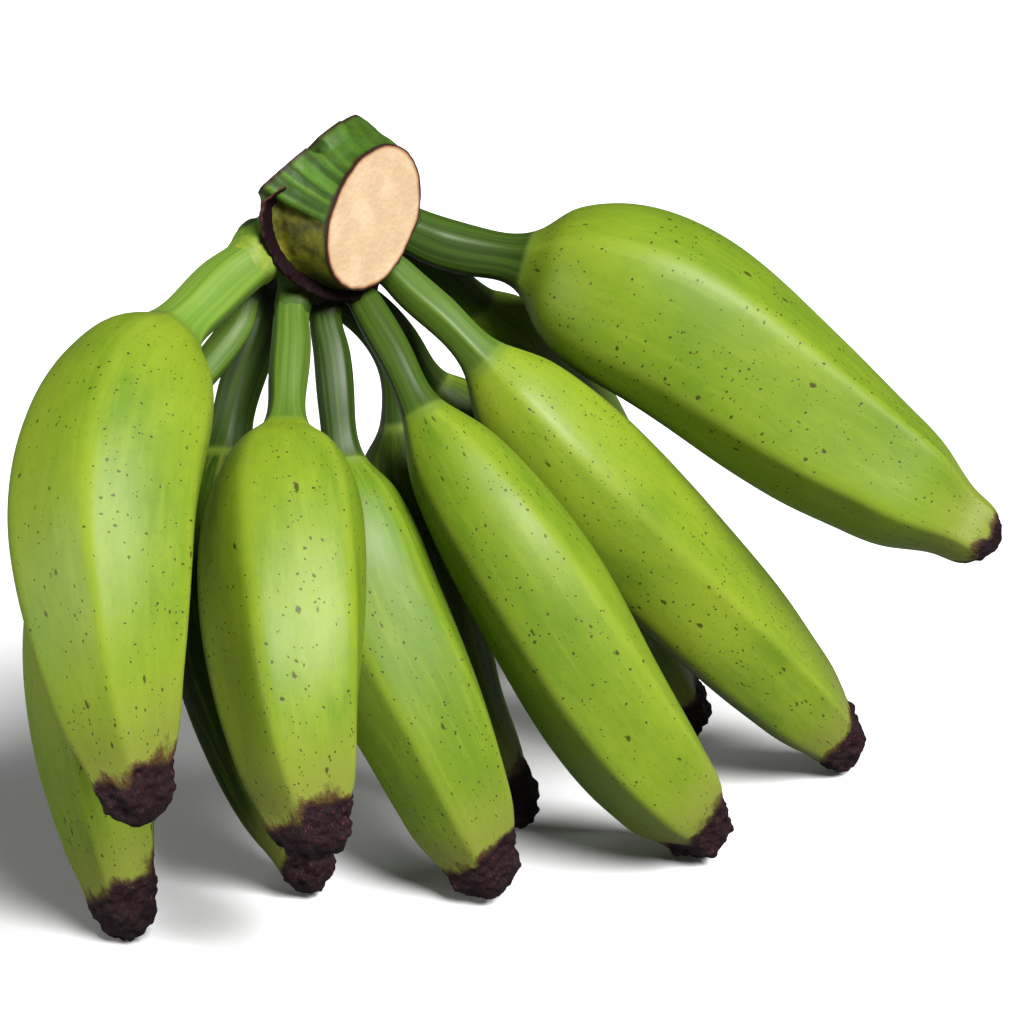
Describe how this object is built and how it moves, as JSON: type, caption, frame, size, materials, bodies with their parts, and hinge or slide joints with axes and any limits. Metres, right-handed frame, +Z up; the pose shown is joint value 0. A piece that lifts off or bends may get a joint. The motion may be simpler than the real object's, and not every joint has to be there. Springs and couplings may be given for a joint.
{
  "type": "hand of green cooking bananas",
  "caption": "Thick, slightly five-sided green fruits in two rows on a short cut stalk, standing on their dark dried ends.",
  "frame": {"origin": "on the ground, under the middle of the hand's box", "axes": "+X to the right of the hand, towards the fruit that sticks out; +Y to its back; +Z up"},
  "size_m": [0.2852, 0.271, 0.2178],
  "materials": {
    "peel": "waxy satin green fruit skin with small dark specks and a dry dark brown tip",
    "stalk": "ribbed green stem skin with a dark brown scar ring and a moist cream cut face"
  },
  "bodies": {
    "root": {"stalk": "stalk", "front_finger_1": "peel", "front_finger_2": "peel", "front_finger_3": "peel", "front_finger_4": "peel", "front_finger_5": "peel", "front_finger_6": "peel", "back_finger_1": "peel", "back_finger_2": "peel", "back_finger_3": "peel", "back_finger_4": "peel", "back_finger_5": "peel"}
  },
  "joints": []
}
